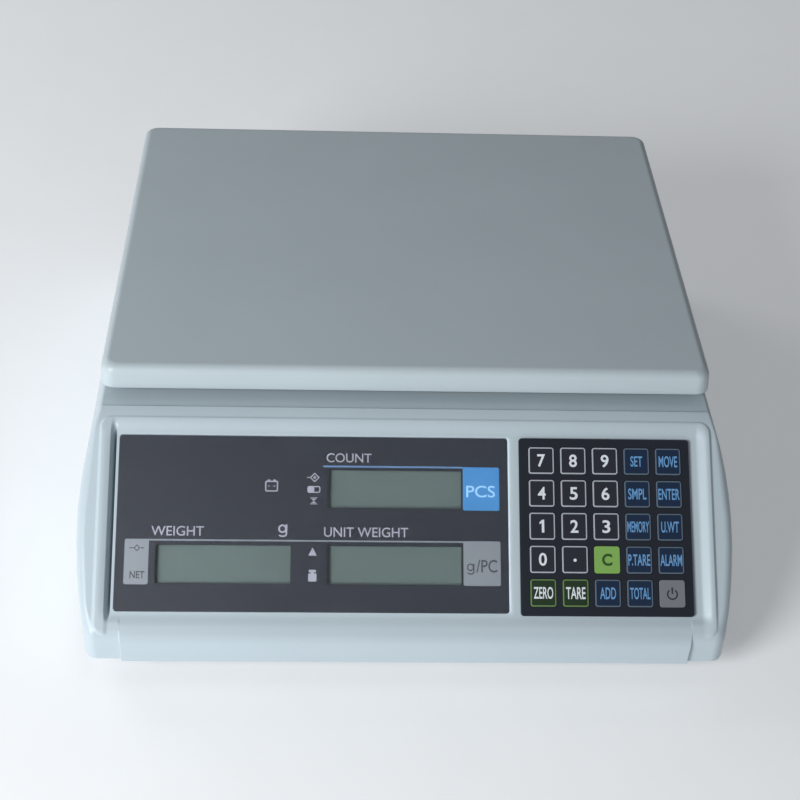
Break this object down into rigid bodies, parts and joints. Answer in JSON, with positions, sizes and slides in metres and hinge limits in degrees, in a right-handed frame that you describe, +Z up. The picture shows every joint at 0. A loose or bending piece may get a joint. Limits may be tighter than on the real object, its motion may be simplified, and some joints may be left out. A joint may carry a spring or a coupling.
{
  "type": "counting scale",
  "caption": "Low bench-top counting scale with a flat lift-off platter over a sloping console with three displays and a keypad.",
  "frame": {"origin": "on the surface that the scale stands on, under the centre of its case", "axes": "+Z up, -Y towards the user, +X to the user's right"},
  "size_m": [0.305, 0.33, 0.107],
  "materials": {
    "case": "satin light grey, fine moulded texture",
    "platter": "satin light grey, fine moulded texture",
    "base": "matt mid grey",
    "display_lens": "glossy, printed on the back",
    "keypad": "fine satin polyester film",
    "key_number": "printed, light grey outline and figure",
    "key_function": "printed, blue-grey outline and light blue word",
    "key_zero": "printed, green outline and white word",
    "key_clear": "printed lime green",
    "key_power": "printed grey",
    "lcd": "reflective liquid-crystal glass, grey-green",
    "circuit_board": "green solder mask",
    "aluminium": "machined",
    "cast_aluminium": "as cast",
    "steel": "zinc plated",
    "rubber": "matt black",
    "foot_plastic": "matt black",
    "black_plastic": "satin black",
    "cable_jacket": "grey-black PVC jacket",
    "vial": "clear, with green liquid and a bubble"
  },
  "bodies": {
    "scale_body": {"top_housing": "case", "base_housing": "base", "battery_door": "base", "housing_screw_left": "steel", "housing_screw_right": "steel", "display_lens": "display_lens", "lcd_count": "lcd", "lcd_unit_weight": "lcd", "lcd_weight": "lcd", "main_board": "circuit_board", "keypad_membrane": "keypad", "load_cell": "aluminium", "chassis": "cast_aluminium", "load_cell_base_bolt_inner": "steel", "load_cell_base_bolt_outer": "steel", "battery": "black_plastic", "level_vial": "vial", "power_jack": "black_plastic", "load_cell_cable": "cable_jacket"},
    "weigh_support": {"platter_support": "cast_aluminium", "support_cap_front_left": "rubber", "support_cap_front_right": "rubber", "support_cap_rear_left": "rubber", "support_cap_rear_right": "rubber", "load_cell_top_bolt_inner": "steel", "load_cell_top_bolt_outer": "steel"},
    "platter": {"platter": "platter"},
    "key_7": {"key_7": "key_number"},
    "key_8": {"key_8": "key_number"},
    "key_9": {"key_9": "key_number"},
    "key_set": {"key_set": "key_function"},
    "key_move": {"key_move": "key_function"},
    "key_4": {"key_4": "key_number"},
    "key_5": {"key_5": "key_number"},
    "key_6": {"key_6": "key_number"},
    "key_sample": {"key_sample": "key_function"},
    "key_enter": {"key_enter": "key_function"},
    "key_1": {"key_1": "key_number"},
    "key_2": {"key_2": "key_number"},
    "key_3": {"key_3": "key_number"},
    "key_memory": {"key_memory": "key_function"},
    "key_unit_weight": {"key_unit_weight": "key_function"},
    "key_0": {"key_0": "key_number"},
    "key_point": {"key_point": "key_number"},
    "key_clear": {"key_clear": "key_clear"},
    "key_preset_tare": {"key_preset_tare": "key_function"},
    "key_alarm": {"key_alarm": "key_function"},
    "key_zero": {"key_zero": "key_zero"},
    "key_tare": {"key_tare": "key_zero"},
    "key_add": {"key_add": "key_function"},
    "key_total": {"key_total": "key_function"},
    "key_power": {"key_power": "key_power"},
    "foot_pad_front_left": {"foot_pad_front_left": "rubber"},
    "foot_screw_front_left": {"foot_screw_front_left": "foot_plastic"},
    "foot_pad_front_right": {"foot_pad_front_right": "rubber"},
    "foot_screw_front_right": {"foot_screw_front_right": "foot_plastic"},
    "foot_pad_rear_left": {"foot_pad_rear_left": "rubber"},
    "foot_screw_rear_left": {"foot_screw_rear_left": "foot_plastic"},
    "foot_pad_rear_right": {"foot_pad_rear_right": "rubber"},
    "foot_screw_rear_right": {"foot_screw_rear_right": "foot_plastic"}
  },
  "joints": [
    {"name": "weigh_deflection", "type": "slide", "parent": "scale_body", "child": "weigh_support", "axis": [0, 0, -1], "range_m": [0, 0.0005], "stiffness_N_per_m": 300000, "springref_m": -0.00006, "deforming": ["load_cell"]},
    {"name": "platter_lift", "type": "slide", "parent": "weigh_support", "child": "platter", "axis": [0, 0, 1], "range_m": [0, 0.05]},
    {"name": "key_7_press", "type": "slide", "parent": "scale_body", "child": "key_7", "axis": [0, 0.6211, -0.7837], "range_m": [0, 0.0005], "stiffness_N_per_m": 1500, "springref_m": -0.0005},
    {"name": "key_8_press", "type": "slide", "parent": "scale_body", "child": "key_8", "axis": [0, 0.6211, -0.7837], "range_m": [0, 0.0005], "stiffness_N_per_m": 1500, "springref_m": -0.0005},
    {"name": "key_9_press", "type": "slide", "parent": "scale_body", "child": "key_9", "axis": [0, 0.6211, -0.7837], "range_m": [0, 0.0005], "stiffness_N_per_m": 1500, "springref_m": -0.0005},
    {"name": "key_set_press", "type": "slide", "parent": "scale_body", "child": "key_set", "axis": [0, 0.6211, -0.7837], "range_m": [0, 0.0005], "stiffness_N_per_m": 1500, "springref_m": -0.0005},
    {"name": "key_move_press", "type": "slide", "parent": "scale_body", "child": "key_move", "axis": [0, 0.6211, -0.7837], "range_m": [0, 0.0005], "stiffness_N_per_m": 1500, "springref_m": -0.0005},
    {"name": "key_4_press", "type": "slide", "parent": "scale_body", "child": "key_4", "axis": [0, 0.6211, -0.7837], "range_m": [0, 0.0005], "stiffness_N_per_m": 1500, "springref_m": -0.0005},
    {"name": "key_5_press", "type": "slide", "parent": "scale_body", "child": "key_5", "axis": [0, 0.6211, -0.7837], "range_m": [0, 0.0005], "stiffness_N_per_m": 1500, "springref_m": -0.0005},
    {"name": "key_6_press", "type": "slide", "parent": "scale_body", "child": "key_6", "axis": [0, 0.6211, -0.7837], "range_m": [0, 0.0005], "stiffness_N_per_m": 1500, "springref_m": -0.0005},
    {"name": "key_sample_press", "type": "slide", "parent": "scale_body", "child": "key_sample", "axis": [0, 0.6211, -0.7837], "range_m": [0, 0.0005], "stiffness_N_per_m": 1500, "springref_m": -0.0005},
    {"name": "key_enter_press", "type": "slide", "parent": "scale_body", "child": "key_enter", "axis": [0, 0.6211, -0.7837], "range_m": [0, 0.0005], "stiffness_N_per_m": 1500, "springref_m": -0.0005},
    {"name": "key_1_press", "type": "slide", "parent": "scale_body", "child": "key_1", "axis": [0, 0.6211, -0.7837], "range_m": [0, 0.0005], "stiffness_N_per_m": 1500, "springref_m": -0.0005},
    {"name": "key_2_press", "type": "slide", "parent": "scale_body", "child": "key_2", "axis": [0, 0.6211, -0.7837], "range_m": [0, 0.0005], "stiffness_N_per_m": 1500, "springref_m": -0.0005},
    {"name": "key_3_press", "type": "slide", "parent": "scale_body", "child": "key_3", "axis": [0, 0.6211, -0.7837], "range_m": [0, 0.0005], "stiffness_N_per_m": 1500, "springref_m": -0.0005},
    {"name": "key_memory_press", "type": "slide", "parent": "scale_body", "child": "key_memory", "axis": [0, 0.6211, -0.7837], "range_m": [0, 0.0005], "stiffness_N_per_m": 1500, "springref_m": -0.0005},
    {"name": "key_unit_weight_press", "type": "slide", "parent": "scale_body", "child": "key_unit_weight", "axis": [0, 0.6211, -0.7837], "range_m": [0, 0.0005], "stiffness_N_per_m": 1500, "springref_m": -0.0005},
    {"name": "key_0_press", "type": "slide", "parent": "scale_body", "child": "key_0", "axis": [0, 0.6211, -0.7837], "range_m": [0, 0.0005], "stiffness_N_per_m": 1500, "springref_m": -0.0005},
    {"name": "key_point_press", "type": "slide", "parent": "scale_body", "child": "key_point", "axis": [0, 0.6211, -0.7837], "range_m": [0, 0.0005], "stiffness_N_per_m": 1500, "springref_m": -0.0005},
    {"name": "key_clear_press", "type": "slide", "parent": "scale_body", "child": "key_clear", "axis": [0, 0.6211, -0.7837], "range_m": [0, 0.0005], "stiffness_N_per_m": 1500, "springref_m": -0.0005},
    {"name": "key_preset_tare_press", "type": "slide", "parent": "scale_body", "child": "key_preset_tare", "axis": [0, 0.6211, -0.7837], "range_m": [0, 0.0005], "stiffness_N_per_m": 1500, "springref_m": -0.0005},
    {"name": "key_alarm_press", "type": "slide", "parent": "scale_body", "child": "key_alarm", "axis": [0, 0.6211, -0.7837], "range_m": [0, 0.0005], "stiffness_N_per_m": 1500, "springref_m": -0.0005},
    {"name": "key_zero_press", "type": "slide", "parent": "scale_body", "child": "key_zero", "axis": [0, 0.6211, -0.7837], "range_m": [0, 0.0005], "stiffness_N_per_m": 1500, "springref_m": -0.0005},
    {"name": "key_tare_press", "type": "slide", "parent": "scale_body", "child": "key_tare", "axis": [0, 0.6211, -0.7837], "range_m": [0, 0.0005], "stiffness_N_per_m": 1500, "springref_m": -0.0005},
    {"name": "key_add_press", "type": "slide", "parent": "scale_body", "child": "key_add", "axis": [0, 0.6211, -0.7837], "range_m": [0, 0.0005], "stiffness_N_per_m": 1500, "springref_m": -0.0005},
    {"name": "key_total_press", "type": "slide", "parent": "scale_body", "child": "key_total", "axis": [0, 0.6211, -0.7837], "range_m": [0, 0.0005], "stiffness_N_per_m": 1500, "springref_m": -0.0005},
    {"name": "key_power_press", "type": "slide", "parent": "scale_body", "child": "key_power", "axis": [0, 0.6211, -0.7837], "range_m": [0, 0.0005], "stiffness_N_per_m": 1500, "springref_m": -0.0005},
    {"name": "foot_extend_front_left", "type": "slide", "parent": "scale_body", "child": "foot_pad_front_left", "axis": [0, 0, -1], "range_m": [0, 0.0065]},
    {"name": "foot_turn_front_left", "type": "hinge", "parent": "foot_pad_front_left", "child": "foot_screw_front_left", "pos_m": [-0.119, -0.126, 0.003], "axis": [0, 0, 1], "range_deg": [0, 1800]},
    {"name": "foot_extend_front_right", "type": "slide", "parent": "scale_body", "child": "foot_pad_front_right", "axis": [0, 0, -1], "range_m": [0, 0.0065]},
    {"name": "foot_turn_front_right", "type": "hinge", "parent": "foot_pad_front_right", "child": "foot_screw_front_right", "pos_m": [0.119, -0.126, 0.003], "axis": [0, 0, 1], "range_deg": [0, 1800]},
    {"name": "foot_extend_rear_left", "type": "slide", "parent": "scale_body", "child": "foot_pad_rear_left", "axis": [0, 0, -1], "range_m": [0, 0.0065]},
    {"name": "foot_turn_rear_left", "type": "hinge", "parent": "foot_pad_rear_left", "child": "foot_screw_rear_left", "pos_m": [-0.119, 0.13, 0.003], "axis": [0, 0, 1], "range_deg": [0, 1800]},
    {"name": "foot_extend_rear_right", "type": "slide", "parent": "scale_body", "child": "foot_pad_rear_right", "axis": [0, 0, -1], "range_m": [0, 0.0065]},
    {"name": "foot_turn_rear_right", "type": "hinge", "parent": "foot_pad_rear_right", "child": "foot_screw_rear_right", "pos_m": [0.119, 0.13, 0.003], "axis": [0, 0, 1], "range_deg": [0, 1800]}
  ],
  "couplings": [
    {"joint": "foot_extend_front_left", "follows": "foot_turn_front_left", "m_per_rad": 0.00019894},
    {"joint": "foot_extend_front_right", "follows": "foot_turn_front_right", "m_per_rad": 0.00019894},
    {"joint": "foot_extend_rear_left", "follows": "foot_turn_rear_left", "m_per_rad": 0.00019894},
    {"joint": "foot_extend_rear_right", "follows": "foot_turn_rear_right", "m_per_rad": 0.00019894}
  ]
}
